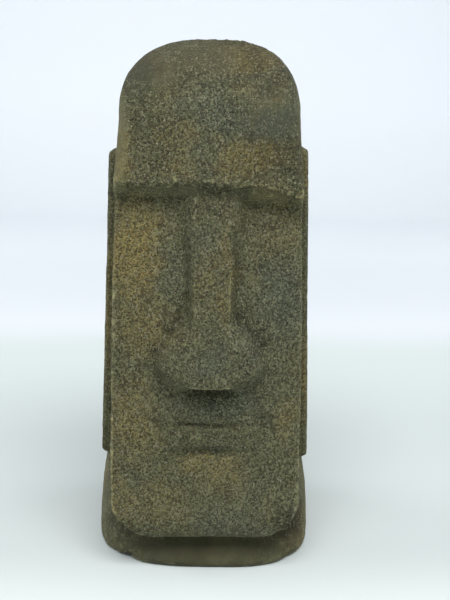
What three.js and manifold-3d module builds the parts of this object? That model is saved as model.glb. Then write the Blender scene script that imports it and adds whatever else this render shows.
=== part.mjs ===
import * as THREE from 'three';
import { LoftGeometry } from 'three/addons/geometries/LoftGeometry.js';
import { mergeVertices } from 'three/addons/utils/BufferGeometryUtils.js';
import Module from 'manifold-3d';

// A tall stone head with long slab ears, cast in one piece with its neck and foot.
// Millimetres, +Z up. The face looks along -Y and the origin is the middle of the underside.

// Head block
const height = 250;
const foreheadWidth = 81;
const browWidth = 84.6;
const jawWidth = 90;
const headFront = 56;
const headBack = 48;
const crownRise = 39;
const crownRoundness = 2.8;
const crownDepthRise = 30;
const crownShift = 2;
const crownFlat = 0.06;
const crownEdgeRadius = 27;
const foreheadLean = 0.17;
const foreheadEdgeRadius = 6;
const cheekEdgeRadius = 2;
const headBackRadius = 18;

// Jaw
const chinGap = 16.5;
const chinJut = 1.8;
const jawReach = 54.4;
const jawCornerWidth = 24;
const jawCornerHeight = 19;
const chinEdgeRadius = 4;

// Brow and eyes
const eyeDepth = 7;
const eyeHollowPower = 1.5;
const browEdge = 8;
const browDropLeft = 0.5;
const browDropRight = 5;
const browBendReach = 25;

// Nose
const noseWidth = 54;
const noseShift = 1.9;
const noseReach = 66;
const bridgeReach = 55;
const ridgeWidth = 15.5;
const ridgeTipWidth = 12;
const ridgeFlank = 4.5;
const bridgeSpread = 0.7;
const tipSpread = 2.5;
const lobeRise = 9;
const lobeBlend = 3;
const ridgeBlend = 0.1;
const noseFootRise = 4.5;
const noseFootEdge = 2;
const lobeFootEdge = 10;
const noseCutWidth = 15.5;
const moundDepth = 18;
const moundAcrossPower = 2.8;
const moundUpPower = 1.5;
const moundDownPower = 2.2;
const moundSoftness = 0.6;
const moundSkirt = 0.05;

// Mouth
const mouthWidth = 50;
const mouthShift = 1.9;
const lipRise = 1.5;
const lipEdge = 2;
const mouthLineDepth = 1.2;
const mouthLineWidth = 1.4;
const chinGrooveDepth = 2;
const chinGrooveWidth = 3.5;
const upperLipHollow = 2.1;
const upperLipHollowWidth = 3.6;

// Shares of half the mouth's width between which each of its forms fades out
const mouthFades = { lips: [0.7, 1.1], line: [0.5, 1], groove: [0.4, 1], hollow: [0.25, 0.5] };

// Ears
const earDepth = 26;
const earFront = 14;
const earStandTop = 6.6;
const earProud = 1.9;
const earRoot = 6;
const earCorner = 3;
const earTopCorner = 0.8;
const earEndRadius = 2.2;
const earDropRight = 2;
const earRiseRight = 2.6;

// Neck and foot
const baseWidth = 109;
const baseFront = 54;
const baseBack = 52;
const baseEdge = 3;
const baseEdgeDraw = 0.7;
const neckDraw = 3;
const neckDrawPower = 2;
const neckFront = 30;
const neckInset = 2;
const footSkew = 0.035;
const planRoundness = 3;

// Levels of the carving, as shares of the height
const baseTopLevel = 0.05 * height;
const earBottomLevel = 0.172 * height;
const chinGrooveLevel = 0.241 * height;
const lowerLipLevel = 0.253 * height;
const mouthLevel = 0.299 * height;
const upperLipLevel = 0.355 * height;
const noseFootLevel = 0.382 * height;
const moundLevel = 0.41 * height;
const lobeTopLevel = 0.52 * height;
const cheekTopLevel = 0.44 * height;
const bridgeLevel = 0.54 * height;
const neckTopLevel = 0.6 * height;
const noseTopLevel = 0.706 * height;
const browLevel = 0.736 * height;
const earTopLevel = 0.79 * height;
const crownLevel = height - crownRise;

// Half the widths of the foot and of the neck above it
const baseHalf = baseWidth / 2;
const neckHalf = baseHalf - neckDraw;

const { clamp, lerp, smoothstep } = THREE.MathUtils;
const quarterTurn = Math.PI / 2;

function bump(value, middle, reach) {
  return Math.exp(-(((value - middle) / reach) ** 2));
}

function fadeOut(value, from, to) {
  return 1 - smoothstep(value, from, to);
}

function softMax(a, b, blend) {
  const h = clamp(0.5 + (a - b) / (2 * blend), 0, 1);
  return lerp(b, a, h) + blend * h * (1 - h);
}

// Half the width of the head block, before the jaw corners and the crown round it off
function headHalfWidth(z) {
  const jawToBrow = clamp((z - earBottomLevel) / (browLevel - earBottomLevel), 0, 1);
  const browToCrown = clamp((z - browLevel) / (crownLevel - browLevel), 0, 1);
  return lerp(lerp(jawWidth, browWidth, jawToBrow), foreheadWidth, browToCrown) / 2;
}

// How far the plain face stands in front of the origin.
// The cheeks lean back from the jaw to the eyes, and the forehead overhangs them at the brow.
function faceReach(z) {
  const jaw = jawReach + chinJut * fadeOut(z, chinGap, chinGrooveLevel);
  const lean = clamp((z - cheekTopLevel) / (browLevel - cheekTopLevel), 0, 1);
  const cheek = jaw - eyeDepth * lean ** eyeHollowPower;
  const forehead = headFront - foreheadLean * Math.max(z - browLevel, 0);
  return lerp(cheek, forehead, smoothstep(z, browLevel - browEdge / 2, browLevel + browEdge / 2));
}

// The long ridge of the nose, broader and softer at the bridge and again at the tip
function ridgeRise(side, z) {
  const along = Math.min((noseTopLevel - z) / (noseTopLevel - noseFootLevel), 1);
  const top = lerp(bridgeReach, noseReach, along) - faceReach(z);
  const tip = fadeOut(z, noseFootLevel, lobeTopLevel);
  const bridge = smoothstep(z, bridgeLevel, noseTopLevel);
  const half = lerp(ridgeWidth, ridgeTipWidth, tip) / 2;
  const flank = ridgeFlank * (1 + tipSpread * tip + bridgeSpread * bridge);
  const belowBrow = fadeOut(z, noseTopLevel, browLevel + browEdge);
  return top * belowBrow * fadeOut(side, half, half + flank);
}

// The mound at the foot of the nose, whose two ends are the lobes.
// Its sides slope up to the ridge, and its lower end is rounder.
function moundRise(side, z) {
  const across = side / (noseWidth / 2);
  const up = Math.max(z - moundLevel, 0) / (lobeTopLevel - moundLevel);
  const down = Math.max(moundLevel - z, 0) / moundDepth;
  const inside = 1 - across ** moundAcrossPower - up ** moundUpPower - down ** moundDownPower;
  return lobeRise * smoothstep(inside, -moundSkirt, moundSoftness);
}

// The nose is cut off sharply below its tip and rounds back softly below the lobes
function noseRise(x, z) {
  const side = Math.abs(x - noseShift);
  const mound = moundRise(side, z);
  const onMound = smoothstep(mound, 0, lobeRise / 2);
  const form = softMax(ridgeRise(side, z), mound, lerp(ridgeBlend, lobeBlend, onMound));
  const outward = smoothstep(side, noseCutWidth / 2, noseCutWidth * 1.1);
  const cutFrom = noseFootLevel - lerp(noseFootEdge, lobeFootEdge, outward);
  const cutTo = noseFootLevel + lerp(0, lobeFootEdge / 2, outward);
  return smoothstep(z, cutFrom, cutTo) * form;
}

// What the mouth adds: two lips with a line between them.
// A groove lies above the chin and a hollow below the nose.
function mouthRise(x, z) {
  const side = Math.abs(x - mouthShift);
  const half = mouthWidth / 2;
  const hollowLevel = noseFootLevel - noseFootEdge * 1.5;
  const fade = ([from, to]) => fadeOut(side, half * from, half * to);
  const aboveGroove = smoothstep(z, lowerLipLevel - lipEdge, lowerLipLevel + lipEdge);
  const belowHollow = fadeOut(z, upperLipLevel - lipEdge, upperLipLevel + lipEdge);
  const lips = lipRise * aboveGroove * belowHollow * fade(mouthFades.lips);
  const line = mouthLineDepth * bump(z, mouthLevel, mouthLineWidth) * fade(mouthFades.line);
  const groove = chinGrooveDepth * bump(z, chinGrooveLevel, chinGrooveWidth);
  const hollow = upperLipHollow * bump(z, hollowLevel, upperLipHollowWidth);
  return lips - line - groove * fade(mouthFades.groove) - hollow * fade(mouthFades.hollow);
}

function frontReach(x, z) {
  return faceReach(z) + noseRise(x, z) + mouthRise(x, z);
}

// Rows of the face follow the curve of the nose's foot and the drooping brow
function rowBend(x, z) {
  const noseSide = smoothstep(Math.abs(x - noseShift), noseCutWidth / 2, noseWidth / 2);
  const belowFoot = smoothstep(z, mouthLevel + lobeFootEdge, noseFootLevel - noseFootEdge);
  const nearFoot = belowFoot * fadeOut(z, noseFootLevel, cheekTopLevel);
  const drop = x > 0 ? browDropRight : browDropLeft;
  const browSide = Math.min(Math.abs(x) / (foreheadWidth / 2), 1);
  const belowBrow = smoothstep(z, browLevel - browBendReach, browLevel - browEdge);
  const nearBrow = belowBrow * fadeOut(z, browLevel + browEdge, browLevel + browBendReach);
  return noseFootRise * noseSide * nearFoot - drop * browSide ** 2 * nearBrow;
}

// Columns across the front as shares from -1 to 1, closer together where the nose is
const innerColumns = 38;
const outerColumns = 4;
const innerShare = 0.66;

function frontColumns() {
  const shares = [];
  for (let i = 0; i < outerColumns; i++) {
    shares.push(lerp(-1, -innerShare, i / outerColumns));
  }
  for (let i = 0; i <= innerColumns; i++) {
    shares.push(lerp(-innerShare, innerShare, i / innerColumns));
  }
  for (let i = 1; i <= outerColumns; i++) {
    shares.push(lerp(innerShare, 1, i / outerColumns));
  }
  return shares;
}

// The points inside a quarter circle, between its two ends
function addCorner(ring, middleX, middleY, radius, startAngle, z, steps) {
  for (let i = 1; i < steps; i++) {
    const angle = startAngle + (i / steps) * quarterTurn;
    ring.push(new THREE.Vector3(middleX + radius * Math.cos(angle), middleY + radius * Math.sin(angle), z));
  }
}

// One level of the head block, counterclockwise from above, starting at the left end of the front
function headRing(z, halfWidth, edgeRadius) {
  const flat = halfWidth - edgeRadius;
  const backRadius = Math.min(headBackRadius, halfWidth * 0.9);
  const backX = halfWidth - backRadius;
  const backY = headBack - backRadius;
  const cornerY = edgeRadius - faceReach(z);
  const rightZ = z + rowBend(halfWidth, z);
  const leftZ = z + rowBend(-halfWidth, z);
  const ring = [];
  for (const share of frontColumns()) {
    const x = share * flat;
    ring.push(new THREE.Vector3(x, -frontReach(x, z), z + rowBend(x, z)));
  }
  addCorner(ring, flat, cornerY, edgeRadius, -quarterTurn, rightZ, 3);
  ring.push(new THREE.Vector3(halfWidth, cornerY, rightZ));
  ring.push(new THREE.Vector3(halfWidth, 0, z));
  ring.push(new THREE.Vector3(halfWidth, backY, z));
  addCorner(ring, backX, backY, backRadius, 0, z, 4);
  ring.push(new THREE.Vector3(backX, headBack, z));
  ring.push(new THREE.Vector3(0, headBack, z));
  ring.push(new THREE.Vector3(-backX, headBack, z));
  addCorner(ring, -backX, backY, backRadius, quarterTurn, z, 4);
  ring.push(new THREE.Vector3(-halfWidth, backY, z));
  ring.push(new THREE.Vector3(-halfWidth, 0, z));
  ring.push(new THREE.Vector3(-halfWidth, cornerY, leftZ));
  addCorner(ring, -flat, cornerY, edgeRadius, 2 * quarterTurn, leftZ, 3);
  return ring;
}

// The jaw's lower corners are a quarter of an ellipse at each side, and the chin's lower edge is rounded
function jawRings(rows) {
  const rings = [];
  for (let i = 0; i < rows; i++) {
    const angle = (i / rows) * quarterTurn;
    const above = jawCornerHeight * (1 - Math.cos(angle));
    const z = chinGap + above;
    const halfWidth = headHalfWidth(z) - jawCornerWidth * (1 - Math.sin(angle));
    const below = Math.max(chinEdgeRadius - above, 0);
    const tuck = chinEdgeRadius - Math.sqrt(chinEdgeRadius ** 2 - below ** 2);
    const ring = headRing(z, halfWidth, cheekEdgeRadius);
    for (const point of ring) {
      if (point.y < 0) {
        point.y += tuck;
      }
    }
    rings.push(ring);
  }
  return rings;
}

// Rows of the face, closer together where the carving turns sharply
function faceRings() {
  const bands = [
    [chinGap + jawCornerHeight, chinGrooveLevel - chinGrooveWidth, 3],
    [chinGrooveLevel - chinGrooveWidth, chinGrooveLevel + chinGrooveWidth, 4],
    [chinGrooveLevel + chinGrooveWidth, mouthLevel - mouthLineWidth, 2],
    [mouthLevel - mouthLineWidth, mouthLevel + mouthLineWidth, 4],
    [mouthLevel + mouthLineWidth, noseFootLevel - lobeFootEdge, 3],
    [noseFootLevel - lobeFootEdge, noseFootLevel - noseFootEdge, 3],
    [noseFootLevel - noseFootEdge, noseFootLevel, 2],
    [noseFootLevel, lobeTopLevel, 15],
    [lobeTopLevel, noseTopLevel, 5],
    [noseTopLevel, browLevel - browEdge / 2, 2],
    [browLevel - browEdge / 2, browLevel + browEdge / 2, 5],
    [browLevel + browEdge / 2, crownLevel, 4],
  ];
  const rings = [];
  for (const [from, to, rows] of bands) {
    for (let i = 0; i < rows; i++) {
      const z = lerp(from, to, i / rows);
      const edge = lerp(cheekEdgeRadius, foreheadEdgeRadius, smoothstep(z, browLevel, crownLevel));
      rings.push(headRing(z, headHalfWidth(z), edge));
    }
  }
  return rings;
}

// The crown, a dome whose rings draw in on all sides up to a small flat top
function crownRings(rows) {
  const lastAngle = 0.94 * quarterTurn;
  const power = 2 / crownRoundness;
  const middleY = (headBack - headFront) / 2;
  const rings = [];
  for (let i = 0; i <= rows; i++) {
    const angle = (i / rows) * lastAngle;
    const rise = (Math.sin(angle) / Math.sin(lastAngle)) ** power;
    const z = crownLevel + crownRise * rise;
    const scaleX = Math.cos(angle) ** power;
    const depthRise = Math.max((z - height) / crownDepthRise + 1, 0);
    const scaleY = Math.max(Math.sqrt(1 - depthRise ** 2), crownFlat);
    const edge = lerp(foreheadEdgeRadius, crownEdgeRadius, rise ** 3);
    const ring = headRing(z, headHalfWidth(z), edge);
    for (const point of ring) {
      point.x = point.x * scaleX + crownShift * rise ** 6;
      point.y = middleY + (point.y - middleY) * scaleY;
    }
    rings.push(ring);
  }
  return rings;
}

// One level of the foot and neck, wide and rounded at the foot and drawn in to the head.
// In front it is hollowed below the chin.
function neckRing(z, columns) {
  const toNeck = clamp((z - baseTopLevel) / (earBottomLevel - baseTopLevel), 0, 1);
  const toHead = clamp((z - earBottomLevel) / (neckTopLevel - earBottomLevel), 0, 1);
  const underChin = clamp((z - baseEdge) / (earBottomLevel - baseEdge), 0, 1);
  const backward = clamp((z - baseTopLevel) / (neckTopLevel - baseTopLevel), 0, 1);
  const below = Math.max(baseEdge - z, 0);
  const tuck = (baseEdge - Math.sqrt(baseEdge ** 2 - below ** 2)) * baseEdgeDraw;
  const topHalf = headHalfWidth(neckTopLevel) - neckInset;
  const halfWidth = lerp(lerp(baseHalf, neckHalf, toNeck ** neckDrawPower), topHalf, toHead) - tuck;
  const front = lerp(lerp(baseFront, neckFront, underChin), 0, toHead) - tuck;
  const back = lerp(baseBack, headBack - neckInset, backward) - tuck;
  const skew = footSkew * (1 - toNeck);
  const power = 2 / planRoundness;
  const ring = [];
  for (let i = 0; i < columns; i++) {
    const angle = (i / columns) * 4 * quarterTurn;
    const c = Math.cos(angle);
    const s = Math.sin(angle);
    const x = Math.sign(c) * Math.abs(c) ** power * halfWidth;
    const y = (back - front) / 2 + (Math.sign(s) * Math.abs(s) ** power * (back + front)) / 2;
    ring.push(new THREE.Vector3(x, y - skew * x * Math.max(-s, 0), z));
  }
  return ring;
}

function neckRings(columns) {
  const levels = [0, baseEdge * 0.15, baseEdge * 0.5, baseEdge, baseTopLevel];
  const steps = 6;
  for (let i = 1; i <= steps; i++) {
    levels.push(lerp(baseTopLevel, neckTopLevel, (i / steps) ** 1.3));
  }
  return levels.map((z) => neckRing(z, columns));
}

// One level of an ear: a slab that starts inside the head and stands out from it, more so lower down
function earRing(side, z, tuckOut, tuckSide) {
  const up = clamp((z - earBottomLevel) / (earTopLevel - earBottomLevel), 0, 1);
  const headSide = headHalfWidth(z);
  const standBottom = neckHalf + earProud - jawWidth / 2;
  const outer = headSide + lerp(standBottom, earStandTop, up) - tuckOut;
  const inner = headSide - earRoot;
  const front = tuckSide - earFront;
  const back = earDepth - earFront - tuckSide;
  const cut = earCorner / 2;
  const plan = [
    [inner, front],
    [outer - cut, front],
    [outer, front + cut],
    [outer, back - cut],
    [outer - cut, back],
    [inner, back],
  ];
  const ring = plan.map(([x, y]) => new THREE.Vector3(side * x, y, z));
  return side > 0 ? ring : ring.reverse();
}

// An ear from its lower end to its upper end, with both ends rounded off
function earRings(side, bottomLevel, topLevel, steps) {
  const rings = [];
  for (let i = 0; i <= steps; i++) {
    const angle = (i / steps) * quarterTurn;
    const tuck = 1 - Math.sin(angle);
    const z = bottomLevel + earEndRadius * (1 - Math.cos(angle));
    rings.push(earRing(side, z, (earCorner / 2) * tuck, earEndRadius * tuck));
  }
  for (let i = steps; i >= 0; i--) {
    const angle = (i / steps) * quarterTurn;
    const tuck = 1 - Math.sin(angle);
    const z = topLevel - earEndRadius * (1 - Math.cos(angle));
    rings.push(earRing(side, z, earTopCorner * tuck, earEndRadius * tuck));
  }
  return rings;
}

function loft(rings) {
  const surface = new LoftGeometry(rings, { closed: true, capStart: true, capEnd: true });
  const geometry = new THREE.BufferGeometry();
  geometry.setAttribute('position', surface.getAttribute('position'));
  geometry.setIndex(surface.getIndex());
  return mergeVertices(geometry, 1e-4);
}

const wasm = await Module();
wasm.setup();

function toSolid(geometry) {
  return new wasm.Manifold(new wasm.Mesh({
    numProp: 3,
    vertProperties: new Float32Array(geometry.getAttribute('position').array),
    triVerts: new Uint32Array(geometry.getIndex().array),
  }));
}

function toGeometry(solid) {
  const { vertProperties, triVerts } = solid.getMesh();
  const geometry = new THREE.BufferGeometry();
  geometry.setAttribute('position', new THREE.BufferAttribute(vertProperties, 3));
  geometry.setIndex(new THREE.BufferAttribute(triVerts, 1));
  geometry.computeVertexNormals();
  return geometry;
}

const head = toSolid(loft([...jawRings(6), ...faceRings(), ...crownRings(9)]));
const neck = toSolid(loft(neckRings(40)));
const leftEar = toSolid(loft(earRings(-1, earBottomLevel, earTopLevel, 4)));
const rightEar = toSolid(loft(earRings(1, earBottomLevel - earDropRight, earTopLevel + earRiseRight, 4)));

const stone = new THREE.MeshStandardMaterial({ color: 0x5b5843, roughness: 0.95, metalness: 0 });
const figure = new THREE.Mesh(toGeometry(head.add(neck).add(leftEar).add(rightEar)), stone);
figure.name = 'tiki_head';

const part = new THREE.Group();
part.add(figure);

export default part;
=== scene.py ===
import math

import bmesh
import bpy
import numpy as np
from mathutils import Matrix, Vector, noise
from mathutils.bvhtree import BVHTree


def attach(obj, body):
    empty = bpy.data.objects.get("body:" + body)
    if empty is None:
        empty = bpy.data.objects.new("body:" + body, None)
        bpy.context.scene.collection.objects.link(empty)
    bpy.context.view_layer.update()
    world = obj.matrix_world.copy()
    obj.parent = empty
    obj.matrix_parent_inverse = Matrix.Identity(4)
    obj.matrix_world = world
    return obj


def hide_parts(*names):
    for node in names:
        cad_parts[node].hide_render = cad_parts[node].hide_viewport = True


# A tall head of dark cast stone, standing on a pale floor in soft light.
# Metres, +Z up. The face looks along -Y, and +X is on the viewer's right.

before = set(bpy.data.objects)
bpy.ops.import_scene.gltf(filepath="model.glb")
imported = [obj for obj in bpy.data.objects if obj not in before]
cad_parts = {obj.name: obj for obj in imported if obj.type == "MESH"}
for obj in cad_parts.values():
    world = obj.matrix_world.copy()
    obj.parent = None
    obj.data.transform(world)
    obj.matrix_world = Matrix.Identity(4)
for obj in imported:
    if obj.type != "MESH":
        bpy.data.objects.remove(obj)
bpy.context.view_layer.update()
MM = 0.001

# Mesh of the casting
VOXEL = 1.36 * MM
SMOOTH_STEPS = 4
SMOOTH_SHARE = 0.5

# Where the mesh is made finer: creases this deep, then limits as x, y and z in millimetres
CREASE = 0.15 * MM
CREASE_BACK = 14
CREASE_LOW = 1
MOUTH_HALF_WIDTH = 30
MOUTH_BACK = -46
MOUTH_HEIGHTS = (56, 104)

# Where the mesh is laid back onto the solid: from none of it to all of it, in millimetres
PLATE_DEPTH = (-46, -49)
PLATE_HEIGHT = (16, 17.5)
EAR_DEPTH = (18, 12)
EAR_HEIGHT = (40, 44)
BELOW_CROWN = (212, 196)

# Worn edges with their painted highlight, and painted shade in the hollows: how far a point's
# neighbourhood reaches, and the least and most height in it
EDGE_STEPS = 8
EDGE_HEIGHTS = (0.08 * MM, 0.34 * MM)
HOLLOW_STEPS = 50
HOLLOW_DEPTHS = (0.15 * MM, 1.5 * MM)

# Edges are worn and get painted highlight less behind the first of these places, and fully in front of
# the second
WEAR_AND_HIGHLIGHT_BEHIND = 0.3
WEAR_AND_HIGHLIGHT_FRONT = (-20.0 * MM, -40.0 * MM)

# Unevenness of the casting: size of the waves and lumps, and their height
WAVE_SIZE = 26.0 * MM
WAVE_HEIGHT = 0.35 * MM
LUMP_SIZE = 4.0 * MM
LUMP_HEIGHT = 0.16 * MM
UNDERSIDE_EDGE = 3.0 * MM

# Pores: one cell each, kept where the cell's own value is above the least
PIT_SPACING = 7.0 * MM
PIT_RADIUS = 0.17
PIT_DEPTH = 0.45 * MM
PIT_CELL_STEP = 7.3
PIT_LEAST_VALUE = 0.45

# Crumbled places and chips: middle and reach in millimetres, then strength or depth
CRUMB_SIZE = 2.4 * MM
CRUMB_HEIGHT = 1.0 * MM
LEAST_CRUMBLED = 0.03
LEAST_CHIP = 0.02 * MM
CRUMBLED = [
    ((10, -14, 249), (16, 20, 6), 1.2),
    ((30, -14, 241), (8, 14, 5), 0.5),
    ((-47, -44, 6), (12, 16, 11), 1.2),
    ((0, -57, 198), (38, 10, 14), 0.36),
    ((-14, -58, 185), (32, 10, 5), 0.95),
    ((24, -58, 182), (22, 10, 6), 0.95),
    ((-20, -56, 25), (26, 8, 5), 0.4),
    ((15, -56, 21), (30, 8, 4), 0.4),
    ((44, -55, 45), (3, 6, 40), 0.35),
    ((-44, -55, 90), (3, 6, 70), 0.35),
]
CHIPS = [
    ((-39, -51, 1), (4.5, 10, 4), 3.6),
    ((-46, -46, 3), (4, 8, 6), 2.4),
    ((-51, -38, 9), (4, 8, 5), 1.6),
    ((44, -48, 1), (5, 8, 3), 1.4),
    ((-54, -14, 198), (3, 4, 2.5), 0.8),
    ((53, -14, 199), (3, 4, 3), 1.0),
    ((-36, -56, 24), (4, 5, 3), 0.8),
]

# Grooves of the face: depth and reach, then both ends as x and z, all in millimetres
GROOVES = [
    (0.9, 0.8, (-8.0, 74.9), (7.0, 74.1)),
    (0.35, 0.9, (-22.0, 73.8), (-8.0, 74.9)),
    (0.35, 0.9, (7.0, 74.1), (23.0, 77.0)),
    (1.0, 1.7, (25.5, 77.6), (27.5, 78.0)),
    (0.7, 1.5, (-22.0, 75.5), (-21.0, 75.5)),
    (0.9, 1.5, (-13.0, 131.0), (-13.5, 124.0)),
    (0.9, 1.6, (-13.5, 124.0), (-25.0, 109.0)),
    (0.9, 1.8, (15.5, 126.0), (26.5, 113.5)),
    (0.35, 1.6, (-28.0, 226.0), (6.0, 226.5)),
]

# Fullness beside the lower lip: height, level with its reach, then where it starts and is whole
LIP_FILL = 1.2
LIP_LEVEL = (60.5, 3.4)
LIP_RIGHT = (8.0, 15.0)
LIP_LEFT = (-12.0, -19.0)
LIP_ENDS = (30.0, 22.0)

# Hollow at the nose's bridge: depth, then level and place across, each with its reach
BRIDGE_HOLLOW = 1.0
BRIDGE_LEVEL = (180.0, 4.5)
BRIDGE_ACROSS = (2.0, 10.0)

# The face is carved in front of these places, where the surface looks forwards this much
CARVED_DEPTH = (-40.0 * MM, -46.0 * MM)
CARVED_FACING = (-0.3, -0.7)

# Camera, read from the photograph's perspective
CAMERA_PLACE = (-3.0 * MM, -450.0 * MM, 229.413 * MM)
CAMERA_PITCH = math.radians(13.452)
CAMERA_YAW = math.radians(1.575)
CAMERA_ROLL = math.radians(1.103)
CAMERA_LENS = 54.0
CAMERA_SENSOR = 36.0

# Floor that curves up into a backdrop
FLOOR_FRONT = -1.2
FLOOR_BACK = 1.1
SWEEP_RADIUS = 0.2
SWEEP_STEPS = 12
BACKDROP_HEIGHT = 1.6
STAGE_HALF_WIDTH = 6.0

# Tones of floor and backdrop, and where along the floor each begins and is whole; the darker floor tone
# is a painted shadow in a band across the figure's place
PAINTED_SHADOW_FLOOR_TONE = (0.56, 0.61, 0.605, 1.0)
BRIGHT_FLOOR_TONE = (0.66, 0.72, 0.71, 1.0)
NEAR_FLOOR = (-0.03, -0.09)
FAR_FLOOR = (0.1, 0.33)
BACKDROP_TONE = (0.8, 0.84, 0.88, 1.0)
PALE_FROM = 0.33
PALE_TO = 0.45
BACKDROP_GLOW = 0.17
GLOW_FULL = 0.92
PAPER_CLOUD = 0.3
PAPER_CLOUD_SHIFT = 0.06
PAPER_ROUGHNESS = 0.9
PAPER_SHEEN = 0.1

# Soft lights: name, place, width and height, and power
LIGHTS = [
    ("key", (0.05, -0.5, 1.05), (0.8, 0.5), 13.0),
    ("left", (-1.1, 0.3, 0.4), (0.6, 0.8), 6.5),
    ("right", (1.1, 0.3, 0.4), (0.6, 0.8), 5.0),
]
LIGHTS_AIM = (0.0, 0.0, 0.12)
SURROUNDING_TONE = (0.93, 0.97, 1.0, 1.0)
SURROUNDING_STRENGTH = 0.33


def smoothstep(value, start, end):
    share = np.clip((value - start) / (end - start), 0.0, 1.0)
    return share * share * (3.0 - 2.0 * share)


def bump(value, middle, reach):
    return np.exp(-(((value - middle) / reach) ** 2))


# The casting's mesh

def get_points(mesh):
    flat = np.empty(len(mesh.vertices) * 3, dtype=np.float32)
    mesh.vertices.foreach_get("co", flat)
    return flat.reshape(-1, 3).astype(float)


def get_normals(mesh):
    flat = np.empty(len(mesh.vertices) * 3, dtype=np.float32)
    mesh.vertex_normals.foreach_get("vector", flat)
    return flat.reshape(-1, 3).astype(float)


def set_points(mesh, points):
    mesh.vertices.foreach_set("co", points.astype(np.float32).ravel())
    mesh.update()


def copy_node(node, name):
    """A new object that holds a copy of a CAD node's mesh."""
    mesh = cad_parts[node].data.copy()
    mesh.name = name
    mesh.materials.clear()
    piece = bpy.data.objects.new(name, mesh)
    bpy.context.collection.objects.link(piece)
    return piece


def remesh(piece):
    """An even fine mesh without the facets of the solid."""
    modifier = piece.modifiers.new("remesh", "REMESH")
    modifier.mode = "VOXEL"
    modifier.voxel_size = VOXEL
    modifier = piece.modifiers.new("smooth", "SMOOTH")
    modifier.iterations = SMOOTH_STEPS
    modifier.factor = SMOOTH_SHARE
    graph = bpy.context.evaluated_depsgraph_get()
    mesh = bpy.data.meshes.new_from_object(piece.evaluated_get(graph))
    piece.modifiers.clear()
    piece.data = mesh


def edge_ends(mesh):
    flat = np.empty(len(mesh.edges) * 2, dtype=np.int32)
    mesh.edges.foreach_get("vertices", flat)
    return flat.reshape(-1, 2)


def evened(points, ends, steps):
    """The points, each drawn a number of times towards the middle of its neighbours."""
    start, end = ends[:, 0], ends[:, 1]
    count = len(points)
    near = np.bincount(start, minlength=count) + np.bincount(end, minlength=count)
    for _ in range(steps):
        total = np.empty_like(points)
        for axis in range(3):
            column = points[:, axis]
            ahead = np.bincount(start, column[end], count)
            behind = np.bincount(end, column[start], count)
            total[:, axis] = ahead + behind
        points = (points + total / near[:, None]) / 2
    return points


def standing_out(mesh, steps):
    """How far each point stands out of its evened neighbourhood, below 0 in a hollow."""
    points = get_points(mesh)
    offset = points - evened(points, edge_ends(mesh), steps)
    return (offset * get_normals(mesh)).sum(axis=1)


def refine(mesh):
    """A mesh twice as fine along the edges and creases, and on the nose's foot and the mouth."""
    fine = np.abs(standing_out(mesh, EDGE_STEPS)) > CREASE
    x, y, z = (get_points(mesh) / MM).T
    low, high = MOUTH_HEIGHTS
    fine |= (np.abs(x) < MOUTH_HALF_WIDTH) & (y < MOUTH_BACK) & (z > low) & (z < high)
    fine &= (y < CREASE_BACK) & (z > CREASE_LOW)
    work = bmesh.new()
    work.from_mesh(mesh)
    edges = [edge for edge in work.edges if all(fine[end.index] for end in edge.verts)]
    bmesh.ops.subdivide_edges(work, edges=edges, cuts=1, use_grid_fill=True)
    work.to_mesh(mesh)
    work.free()


def sharpen(mesh, solid):
    """Lay the face and the ears, which the even mesh has softened, back onto the solid."""
    points = get_points(mesh)
    x, y, z = (points / MM).T
    plate = smoothstep(y, *PLATE_DEPTH) * smoothstep(z, *PLATE_HEIGHT)
    ears = smoothstep(y, *EAR_DEPTH) * smoothstep(z, *EAR_HEIGHT)
    share = np.maximum(plate, ears) * smoothstep(z, *BELOW_CROWN)
    tree = BVHTree.FromPolygons(
        [vertex.co for vertex in solid.vertices],
        [tuple(face.vertices) for face in solid.polygons],
    )
    for i in np.nonzero(share)[0]:
        nearest = np.array(tree.find_nearest(Vector(points[i]))[0])
        points[i] += share[i] * (nearest - points[i])
    set_points(mesh, points)


def patch_share(points, patches):
    """For each point the strength of the named places that it lies in."""
    share = np.zeros(len(points))
    for middle, reach, strength in patches:
        offset = (points / MM - np.array(middle)) / np.array(reach)
        share = np.maximum(share, strength * np.exp(-(offset ** 2).sum(axis=1)))
    return share


def crumb_relief(points):
    """Small lumps and holes where the casting has crumbled, and the chips in its edges."""
    crumbled = patch_share(points, CRUMBLED)
    relief = -MM * patch_share(points, CHIPS)
    for i in np.nonzero((crumbled > LEAST_CRUMBLED) | (relief < -LEAST_CHIP))[0]:
        crumb = noise.noise(Vector(points[i] / CRUMB_SIZE))
        relief[i] = relief[i] * (1.0 + crumb) + CRUMB_HEIGHT * crumbled[i] * crumb
    return relief


def wave_relief(points):
    """Slow waves of the whole surface and small lumps on them."""
    relief = np.empty(len(points))
    for i, point in enumerate(points):
        wave = noise.noise(Vector(point / WAVE_SIZE))
        lump = noise.noise(Vector(point / LUMP_SIZE))
        relief[i] = WAVE_HEIGHT * wave + LUMP_HEIGHT * lump
    return relief


def pit_relief(points):
    """Round open pores, each at a cell's own middle and most of them left out."""
    relief = np.zeros(len(points))
    for i, point in enumerate(points):
        spot = Vector(point / PIT_SPACING)
        distances, middles = noise.voronoi(spot)
        keep = noise.cell(middles[0] * PIT_CELL_STEP) > PIT_LEAST_VALUE
        if keep and distances[0] < PIT_RADIUS:
            relief[i] = -PIT_DEPTH * (1.0 - (distances[0] / PIT_RADIUS) ** 2)
    return relief


def groove(x, z, start, end, reach):
    """How near each point lies to the line between two places on the face, from 0 to 1."""
    run, rise = end[0] - start[0], end[1] - start[1]
    share = ((x - start[0]) * run + (z - start[1]) * rise) / (run ** 2 + rise ** 2)
    share = np.clip(share, 0.0, 1.0)
    return bump(np.hypot(x - start[0] - share * run, z - start[1] - share * rise), 0.0, reach)


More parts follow.
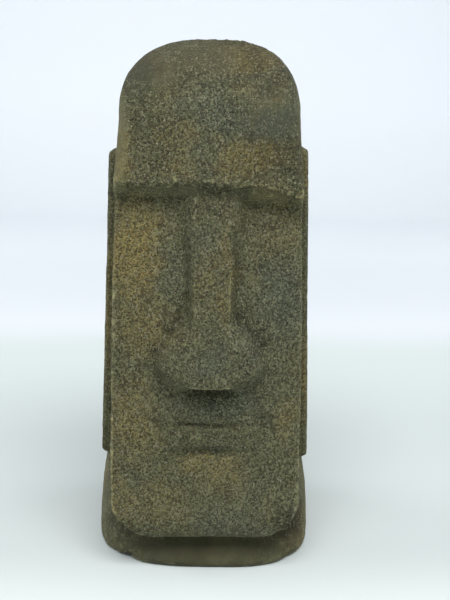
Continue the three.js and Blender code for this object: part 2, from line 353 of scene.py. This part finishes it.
def face_relief(x, z):
    """The carving of the face that is finer than the solid's, in millimetres."""
    relief = np.zeros(len(x))
    for depth, reach, start, end in GROOVES:
        relief -= depth * groove(x, z, start, end, reach)
    beside_lip = smoothstep(x, *LIP_RIGHT) + smoothstep(x, *LIP_LEFT)
    relief += LIP_FILL * bump(z, *LIP_LEVEL) * beside_lip * smoothstep(np.abs(x), *LIP_ENDS)
    return relief - BRIDGE_HOLLOW * bump(z, *BRIDGE_LEVEL) * bump(x, *BRIDGE_ACROSS)


def carve(mesh):
    """Move the points along their normals. The flat underside stays flat."""
    points = get_points(mesh)
    normals = get_normals(mesh)
    standing = smoothstep(points[:, 2], 0.0, UNDERSIDE_EDGE)
    relief = (wave_relief(points) + pit_relief(points)) * standing + crumb_relief(points)
    front = smoothstep(points[:, 1], *CARVED_DEPTH) * smoothstep(normals[:, 1], *CARVED_FACING)
    relief += MM * front * face_relief(points[:, 0] / MM, points[:, 2] / MM)
    moved = points + normals * relief[:, None]
    moved[:, 2] = np.maximum(moved[:, 2], 0.0)
    set_points(mesh, moved)


def keep_number(mesh, name, values):
    """A number for each point, which the material reads by its name."""
    layer = mesh.attributes.new(name, "FLOAT", "POINT")
    layer.data.foreach_set("value", values.astype(np.float32))


def mark_wear_and_painted_light(mesh):
    """Edges are worn and get a painted highlight that makes them paler, and painted shade darkens the
    hollows.
    """
    in_front = smoothstep(get_points(mesh)[:, 1], *WEAR_AND_HIGHLIGHT_FRONT)
    in_front = WEAR_AND_HIGHLIGHT_BEHIND + (1.0 - WEAR_AND_HIGHLIGHT_BEHIND) * in_front
    # worn edges, which also carry a painted highlight
    rubbed_and_highlit = in_front * smoothstep(standing_out(mesh, EDGE_STEPS), *EDGE_HEIGHTS)
    # painted shade: the hollows are darkened where shade falls
    painted_hollow_shade = smoothstep(-standing_out(mesh, HOLLOW_STEPS), *HOLLOW_DEPTHS)
    keep_number(mesh, "rubbed_and_highlit", rubbed_and_highlit)
    keep_number(mesh, "painted_hollow_shade", painted_hollow_shade)


# Materials

class Graph:
    """Builds a material's nodes. A value fed to a socket is a number, a colour or another socket."""

    def __init__(self, name):
        self.material = bpy.data.materials.new(name)
        self.material.use_nodes = True
        self.tree = self.material.node_tree
        self.shader = self.tree.nodes["Principled BSDF"]

    def feed(self, socket, value):
        if isinstance(value, bpy.types.NodeSocket):
            self.tree.links.new(value, socket)
        else:
            socket.default_value = value

    def node(self, kind, inputs=None, **settings):
        node = self.tree.nodes.new("ShaderNode" + kind)
        for key, value in settings.items():
            setattr(node, key, value)
        for key, value in (inputs or {}).items():
            self.feed(node.inputs[key], value)
        return node

    def math(self, operation, a, b=0.0):
        return self.node("Math", {0: a, 1: b}, operation=operation).outputs[0]

    def vector(self, operation, a, b=(0.0, 0.0, 0.0)):
        node = self.node("VectorMath", {0: a, 1: b}, operation=operation)
        return node.outputs["Value" if operation == "LENGTH" else "Vector"]

    def scaled(self, tone, scale):
        """A colour made lighter or darker by a number."""
        return self.node("VectorMath", {0: tone, "Scale": scale}, operation="SCALE").outputs["Vector"]

    def remap(self, value, start, end, low=0.0, high=1.0):
        inputs = {"Value": value, "From Min": start, "From Max": end, "To Min": low, "To Max": high}
        node = self.node("MapRange", interpolation_type="SMOOTHSTEP")
        for key, number in inputs.items():
            self.feed(node.inputs[key], number)
        return node.outputs["Result"]

    def mix(self, factor, a, b, blend="MIX"):
        node = self.node("Mix", data_type="RGBA", blend_type=blend)
        self.feed(node.inputs[0], factor)
        self.feed(node.inputs[6], a)
        self.feed(node.inputs[7], b)
        return node.outputs[2]

    def noise(self, place, size, detail=2.0):
        node = self.node("TexNoise", {"Vector": place, "Scale": 1.0 / size, "Detail": detail})
        return node.outputs["Fac"], node.outputs["Color"]

    def cells(self, place, size):
        """Distance from a grain's middle, as a share of its size, and a random colour for each grain."""
        node = self.node("TexVoronoi", {"Vector": place, "Scale": 1.0 / size})
        return node.outputs["Distance"], node.outputs["Color"]

    def parts(self, value):
        """The three numbers of a colour."""
        return tuple(self.node("SeparateColor", {0: value}).outputs)

    def bumps(self, height, distance, strength, normal=None):
        inputs = {"Height": height, "Distance": distance, "Strength": strength}
        if normal is not None:
            inputs["Normal"] = normal
        return self.node("Bump", inputs).outputs[0]


def colour(red, green, blue):
    """A colour given as a screen shows it, from 0 to 255, turned into a linear one."""
    def linear(value):
        share = value / 255.0
        return share / 12.92 if share <= 0.04045 else ((share + 0.055) / 1.055) ** 2.4
    return (linear(red), linear(green), linear(blue), 1.0)


# Tones of the stone
STONE = colour(99, 97, 72)
OCHRE = colour(133, 119, 75)
SLATE = colour(89, 93, 77)
PIT = colour(44, 42, 30)
SPECK = colour(142, 139, 114)

# Patches on the face and crown: middle and reach in millimetres, then strength
OCHRE_PATCHES = [
    ((-33, -52, 155), (13, 30, 28), 0.85),
    ((-28, -54, 122), (13, 30, 14), 0.45),
    ((-33, -55, 76), (12, 30, 22), 0.5),
    ((-2, -56, 53.5), (11, 30, 5), 0.55),
    ((-22, -56, 34), (14, 30, 11), 0.35),
    ((18, -30, 242), (16, 30, 8), 0.5),
    ((19, -55, 199), (16, 30, 9), 0.62),
    ((-15, -55, 209), (12, 30, 8), 0.35),
    ((9, -60, 146), (3.5, 30, 24), 0.45),
    ((37, -55, 78), (9, 30, 10), 0.45),
    ((-38, -52, 196), (6, 30, 16), 0.4),
    ((-51, -14, 125), (6, 10, 45), 0.4),
    ((52, -14, 85), (6, 10, 28), 0.6),
]
SLATE_PATCHES = [
    ((4, -56, 216), (17, 30, 12), 0.7),
    ((28, -52, 217), (15, 30, 13), 0.8),
    ((33, -44, 229), (17, 30, 8), 0.8),
    ((34, -52, 135), (14, 30, 26), 0.75),
    ((3, -62, 109), (12, 30, 12), 0.6),
    ((8, -56, 83), (22, 30, 9), 0.7),
    ((-20, -52, 148), (9, 30, 14), 0.55),
    ((15, -56, 24), (24, 30, 8), 0.55),
    ((-2, -56, 160), (8, 30, 14), 0.45),
]
WORN_PATCHES = [
    ((-4, -30, 242), (26, 40, 12), 0.5),
    ((28, -52, 217), (16, 30, 15), 0.55),
    ((-27, -40, 236), (15, 30, 12), 0.85),
    ((-40, -48, 205), (5, 30, 26), 0.85),
    ((41, -48, 222), (4, 30, 22), 0.8),
    ((0, -44, 6), (66, 40, 16), 1.0),
    ((-54, -20, 25), (14, 60, 22), 0.6),
    ((54, -20, 25), (14, 60, 22), 0.6),
    ((-15, -50, 183), (18, 30, 4), 0.6),
    ((22, -50, 181), (16, 30, 4), 0.6),
]
# Painted shade, darkening the tone by each patch's strength: shadows under the chin on the foot and the
# neck's sides, under the brow and the nose, along the nose's sides and wings, at the mouth and under the
# lower lip, and beside the ears; the crown and parts of the forehead are painted darker too
PAINTED_SHADE_PATCHES = [
    ((0, -25, 246), (60, 50, 20), 0.44),
    ((-32, -35, 236), (17, 40, 17), 0.62),
    ((36, -35, 238), (14, 40, 14), 0.44),
    ((32, -44, 228), (18, 30, 10), 0.36),
    ((-27, -52, 206), (16, 30, 20), 0.22),
    ((-45, -48, 200), (7, 30, 28), 0.24),
    ((0, -48, 8), (62, 30, 15), 0.55),
    ((-45, -46, 15), (17, 30, 15), 0.56),
    ((46, -46, 16), (19, 30, 18), 0.78),
    ((-50, -30, 28), (7, 26, 16), 0.3),
    ((50, -30, 28), (7, 26, 16), 0.3),
    ((-2, -58, 186), (50, 20, 5), 0.24),
    ((2, -56, 180), (12, 20, 7), 0.3),
    ((-8.5, -56, 150), (3.2, 20, 28), 0.18),
    ((12, -56, 150), (3.2, 20, 28), 0.28),
    ((-13.5, -57, 127), (3, 20, 8), 0.4),
    ((-17, -57, 119), (3.4, 20, 4.5), 0.4),
    ((-22, -57, 112), (3.4, 20, 4.5), 0.36),
    ((17, -58, 123), (4.5, 20, 7), 0.4),
    ((23, -57, 116), (4.5, 20, 4.5), 0.3),
    ((26.5, -57, 77), (4, 20, 3), 0.3),
    ((-22, -57, 75), (4, 20, 2), 0.3),
    ((2, -57, 86), (6, 20, 4), 0.2),
    ((-0.5, -57, 60), (15, 20, 2.6), 0.3),
    ((-52, -14, 180), (5, 16, 24), 0.25),
    ((-53, -14, 50), (5, 16, 10), 0.4),
    ((30, -52, 205), (22, 30, 26), 0.36),
]

# A patch starts at the first share of its reach and is whole at the second
PATCH_EDGE = (1.35, 0.25)
PATCH_WANDER = 16.0 * MM
PATCH_SCATTER = 5.0 * MM
WANDER_SHIFT = 22.0 * MM
SCATTER_SHIFT = 8.0 * MM
RANDOM_MIDDLE = (0.5, 0.5, 0.5)

# Slow patches all over the stone, and clouds: size, range of the noise, and strength or shade
DRIFT = 34.0 * MM
DRIFT_RANGE = (0.5, 0.75)
DRIFT_STRENGTH = 0.5
OCHRE_DRIFT_SHIFT = (0.0, 0.0, 0.0)
SLATE_DRIFT_SHIFT = (0.3, 0.1, 0.2)
CLOUD = 9.0 * MM
CLOUD_RANGE = (0.25, 0.75)
CLOUD_SHADE = (0.9, 1.1)
SLOW_DETAIL = 3.0
FINE_DETAIL = 1.0

# Painted shade of the hollows and painted highlight of the worn edges, and how far the wear evens the
# grain
PAINTED_HOLLOW_DARKEST = 0.68
PAINTED_EDGE_HIGHLIGHT = 2.1
RUBBED_EVENS = 0.5

# Grains: their size, their tint, and how their random values vary ochre and shade
GRAIN = 0.72 * MM
FINE_GRAIN = 0.45 * MM
GRAIN_TINT = 0.08
GRAIN_OCHRE_RANGE = (0.0, 0.8)
GRAIN_OCHRE = (0.6, 1.1)
GRAIN_SHADE = (-0.42, 0.48)

# Pale and dark grains: range of the random value that makes one, and strength
SPECK_RANGE = (0.88, 0.93)
SPECK_STRENGTH = 0.75
PIT_RANGE = (0.16, 0.1)
PIT_EDGE = (0.6, 0.3)
PIT_STRENGTH = 0.8

# Surface: roughness over the fine grain's range, sheen, and bumps from worn to rough
FINE_RANGE = (0.3, 0.7)
ROUGHNESS = (0.82, 1.0)
SHEEN = 0.25
GRAIN_RISE = 0.7
GRAIN_BUMP = 0.95 * MM
GRAIN_BUMP_STRENGTH = (0.15, 1.0)
FINE_BUMP = 0.4 * MM
FINE_BUMP_STRENGTH = (0.3, 1.0)


def patch_mask(graph, place, patches):
    """How far a point lies inside any of the patches, from 0 to 1."""
    mask = 0.0
    for middle, reach, strength in patches:
        offset = graph.vector("SUBTRACT", place, tuple(v * MM for v in middle))
        share = graph.vector("DIVIDE", offset, tuple(v * MM for v in reach))
        inside = graph.remap(graph.vector("LENGTH", share), *PATCH_EDGE, 0.0, strength)
        mask = graph.math("MAXIMUM", mask, inside)
    return mask


def shifted(graph, place, size, shift):
    """The place moved about at random, over features of the given size."""
    swing = graph.vector("SUBTRACT", graph.noise(place, size)[1], RANDOM_MIDDLE)
    return graph.vector("ADD", place, graph.vector("MULTIPLY", swing, (shift, shift, shift)))


def drift(graph, place, offset):
    """Slow patches all over the stone, also where no patch is named."""
    moved = graph.vector("ADD", place, offset)
    slow = graph.remap(graph.noise(moved, DRIFT, SLOW_DETAIL)[0], *DRIFT_RANGE)
    return graph.math("MULTIPLY", slow, DRIFT_STRENGTH)


def stone_tone(graph, place, wandering, draw):
    """Olive, ochre and grey-green patches. The draw gives each grain its own share of ochre."""
    ochre = patch_mask(graph, wandering, OCHRE_PATCHES)
    ochre = graph.math("MAXIMUM", drift(graph, place, OCHRE_DRIFT_SHIFT), ochre)
    ochre = graph.math("MULTIPLY", ochre, graph.remap(draw, *GRAIN_OCHRE_RANGE, *GRAIN_OCHRE))
    slate = patch_mask(graph, wandering, SLATE_PATCHES)
    slate = graph.math("MAXIMUM", drift(graph, place, SLATE_DRIFT_SHIFT), slate)
    return graph.mix(ochre, graph.mix(slate, STONE, SLATE), OCHRE)


def stone_shade(graph, place, wandering, draw, rough, rubbed_and_highlit):
    """How light the stone is: each grain's own shade, clouds, painted shade of the patches and of the
    hollows, and painted highlight on the worn edges.
    """
    painted_hollow_shade = graph.node("Attribute", attribute_name="painted_hollow_shade").outputs["Fac"]
    spread = graph.math("MULTIPLY", graph.remap(draw, 0.0, 1.0, *GRAIN_SHADE), rough)
    cloud = graph.remap(graph.noise(place, CLOUD, SLOW_DETAIL)[0], *CLOUD_RANGE, *CLOUD_SHADE)
    # painted shade of the named patches
    light = graph.math("SUBTRACT", 1.0, patch_mask(graph, wandering, PAINTED_SHADE_PATCHES))
    shade = graph.math("MULTIPLY", graph.math("ADD", 1.0, spread), cloud)
    shade = graph.math("MULTIPLY", shade, light)
    # painted shade in the hollows
    shade = graph.math("MULTIPLY", shade, graph.remap(painted_hollow_shade, 0.0, 1.0, 1.0, PAINTED_HOLLOW_DARKEST))
    # painted highlight on the worn edges
    return graph.math("MULTIPLY", shade, graph.remap(rubbed_and_highlit, 0.0, 1.0, 1.0, PAINTED_EDGE_HIGHLIGHT))


def cast_stone():
    graph = Graph("cast_stone")
    place = graph.node("TexCoord").outputs["Object"]
    wandering = shifted(graph, place, PATCH_WANDER, WANDER_SHIFT)
    wandering = shifted(graph, wandering, PATCH_SCATTER, SCATTER_SHIFT)
    rubbed_and_highlit = graph.node("Attribute", attribute_name="rubbed_and_highlit").outputs["Fac"]
    distance, random = graph.cells(place, GRAIN)
    first, second, third = graph.parts(random)
    fine = graph.noise(place, FINE_GRAIN, FINE_DETAIL)[0]
    even = graph.math("MULTIPLY", rubbed_and_highlit, RUBBED_EVENS)
    even = graph.math("MAXIMUM", patch_mask(graph, place, WORN_PATCHES), even)
    rough = graph.math("SUBTRACT", 1.0, even)

    tone = graph.mix(GRAIN_TINT, stone_tone(graph, place, wandering, first), random, "SOFT_LIGHT")
    tone = graph.scaled(tone, stone_shade(graph, place, wandering, second, rough, rubbed_and_highlit))
    speck = graph.math("MULTIPLY", graph.remap(third, *SPECK_RANGE, 0.0, SPECK_STRENGTH), rough)
    pit = graph.math("MULTIPLY", graph.remap(third, *PIT_RANGE), graph.remap(distance, *PIT_EDGE))
    pit = graph.math("MULTIPLY", pit, rough)
    tone = graph.mix(speck, tone, SPECK)
    tone = graph.mix(graph.math("MULTIPLY", pit, PIT_STRENGTH), tone, PIT)

    height = graph.math("SUBTRACT", graph.math("MULTIPLY", second, GRAIN_RISE), distance)
    height = graph.math("SUBTRACT", height, pit)
    strength = graph.remap(rough, 0.0, 1.0, *GRAIN_BUMP_STRENGTH)
    normal = graph.bumps(height, GRAIN_BUMP, strength)
    strength = graph.remap(rough, 0.0, 1.0, *FINE_BUMP_STRENGTH)
    normal = graph.bumps(fine, FINE_BUMP, strength, normal)

    graph.feed(graph.shader.inputs["Base Color"], tone)
    graph.feed(graph.shader.inputs["Roughness"], graph.remap(fine, *FINE_RANGE, *ROUGHNESS))
    graph.feed(graph.shader.inputs["Specular IOR Level"], SHEEN)
    graph.feed(graph.shader.inputs["Normal"], normal)
    return graph.material


def pale_paper():
    """Floor and backdrop in one sheet, paler where it rises behind the figure and glowing further back.
    The floor is darker across the figure's place, a painted shadow.
    """
    graph = Graph("pale_paper")
    place = graph.node("TexCoord").outputs["Object"]
    along = graph.node("SeparateXYZ", {0: place}).outputs["Y"]
    cloud = graph.math("MULTIPLY", graph.noise(place, PAPER_CLOUD)[0], PAPER_CLOUD_SHIFT)
    rising = graph.remap(graph.math("ADD", along, cloud), PALE_FROM, PALE_TO)
    glow = graph.remap(along, PALE_TO, GLOW_FULL, 0.0, BACKDROP_GLOW)
    # painted shadow: the floor is darker across the figure's place, brighter in front and behind
    bright = graph.math("MAXIMUM", graph.remap(along, *NEAR_FLOOR), graph.remap(along, *FAR_FLOOR))
    floor = graph.mix(bright, PAINTED_SHADOW_FLOOR_TONE, BRIGHT_FLOOR_TONE)
    graph.feed(graph.shader.inputs["Emission Color"], BACKDROP_TONE)
    graph.feed(graph.shader.inputs["Emission Strength"], glow)
    graph.feed(graph.shader.inputs["Base Color"], graph.mix(rising, floor, BACKDROP_TONE))
    graph.feed(graph.shader.inputs["Roughness"], PAPER_ROUGHNESS)
    graph.feed(graph.shader.inputs["Specular IOR Level"], PAPER_SHEEN)
    return graph.material


# The piece, the stage, the lights and the camera

def build_head():
    head = copy_node("tiki_head", "stone_head")
    remesh(head)
    refine(head.data)
    sharpen(head.data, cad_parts["tiki_head"].data)
    carve(head.data)
    mark_wear_and_painted_light(head.data)
    head.data.shade_smooth()
    head.data.materials.append(cast_stone())
    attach(head, "root")
    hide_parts("tiki_head")
    return head


def build_stage():
    """A pale floor that curves up into a backdrop."""
    profile = [(FLOOR_FRONT, 0.0)]
    for i in range(SWEEP_STEPS + 1):
        angle = i / SWEEP_STEPS * math.pi / 2
        profile.append((
            FLOOR_BACK + SWEEP_RADIUS * math.sin(angle),
            SWEEP_RADIUS * (1.0 - math.cos(angle)),
        ))
    profile.append((FLOOR_BACK + SWEEP_RADIUS, BACKDROP_HEIGHT))
    points = [(side * STAGE_HALF_WIDTH, y, z) for y, z in profile for side in (-1, 1)]
    faces = [(2 * i, 2 * i + 1, 2 * i + 3, 2 * i + 2) for i in range(len(profile) - 1)]
    mesh = bpy.data.meshes.new("stage")
    mesh.from_pydata(points, [], faces)
    mesh.shade_smooth()
    stage = bpy.data.objects.new("stage", mesh)
    bpy.context.collection.objects.link(stage)
    mesh.materials.append(pale_paper())


def add_light(name, place, size, power):
    light = bpy.data.lights.new(name, "AREA")
    light.shape = "RECTANGLE"
    light.size, light.size_y = size
    light.energy = power
    lamp = bpy.data.objects.new(name, light)
    lamp.location = place
    towards = Vector(LIGHTS_AIM) - Vector(place)
    lamp.rotation_euler = towards.to_track_quat("-Z", "Y").to_euler()
    bpy.context.collection.objects.link(lamp)


def build_lights():
    for name, place, size, power in LIGHTS:
        add_light(name, place, size, power)
    world = bpy.data.worlds.new("studio")
    bpy.context.scene.world = world
    world.use_nodes = True
    background = world.node_tree.nodes["Background"]
    background.inputs["Color"].default_value = SURROUNDING_TONE
    background.inputs["Strength"].default_value = SURROUNDING_STRENGTH


def build_camera():
    pitch, yaw, roll = CAMERA_PITCH, CAMERA_YAW, CAMERA_ROLL
    forward = Vector((
        math.sin(yaw) * math.cos(pitch),
        math.cos(yaw) * math.cos(pitch),
        -math.sin(pitch),
    ))
    level = Vector((math.cos(yaw), -math.sin(yaw), 0.0))
    upright = level.cross(forward)
    right = math.cos(roll) * level + math.sin(roll) * upright
    up = math.cos(roll) * upright - math.sin(roll) * level
    camera = bpy.data.objects.new("camera", bpy.data.cameras.new("camera"))
    camera.data.sensor_width = CAMERA_SENSOR
    camera.data.lens = CAMERA_LENS
    turn = Matrix((right, up, -forward)).transposed().to_4x4()
    camera.matrix_world = Matrix.Translation(CAMERA_PLACE) @ turn
    bpy.context.collection.objects.link(camera)
    bpy.context.scene.camera = camera


build_stage()
build_lights()
build_camera()
head = build_head()
bpy.context.scene.view_settings.view_transform = "Standard"
print("triangles", sum(len(face.vertices) - 2 for face in head.data.polygons))
